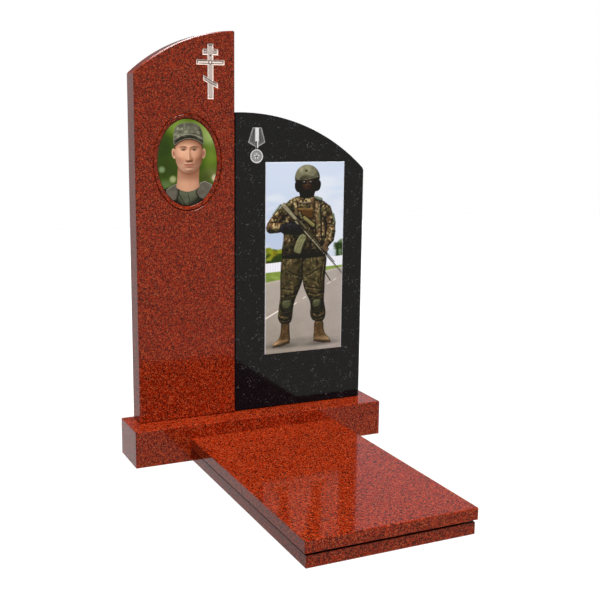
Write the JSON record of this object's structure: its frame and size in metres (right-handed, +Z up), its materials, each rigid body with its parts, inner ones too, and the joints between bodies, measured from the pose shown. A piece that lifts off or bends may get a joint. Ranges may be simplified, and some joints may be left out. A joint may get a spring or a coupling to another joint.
{
  "type": "war memorial",
  "caption": "Polished granite war memorial: a tall red and a lower black stele with arched tops on a red base block, an oval portrait, a picture plate and a ledger in front",
  "frame": {"origin": "on the ground, under the middle of the whole memorial: the centre of the bounding box in plan, at the height of the undersides", "axes": "+Z is up. The steles face -Y and the ledger slabs lie in front of them, towards -Y. +X is to the right of a person who faces the memorial, the side of the black stele."},
  "size_m": [1.04, 1.2002, 1.6061],
  "materials": {
    "red_granite": "polished",
    "black_granite": "polished",
    "glazed_portrait": "gloss",
    "glazed_picture": "gloss"
  },
  "bodies": {
    "root": {"base_block": "red_granite", "red_stele": "red_granite", "black_stele": "black_granite", "oval_portrait_plaque": "glazed_portrait", "picture_panel": "glazed_picture", "ledger_upper_slab": "red_granite", "ledger_lower_slab": "red_granite"}
  },
  "joints": []
}
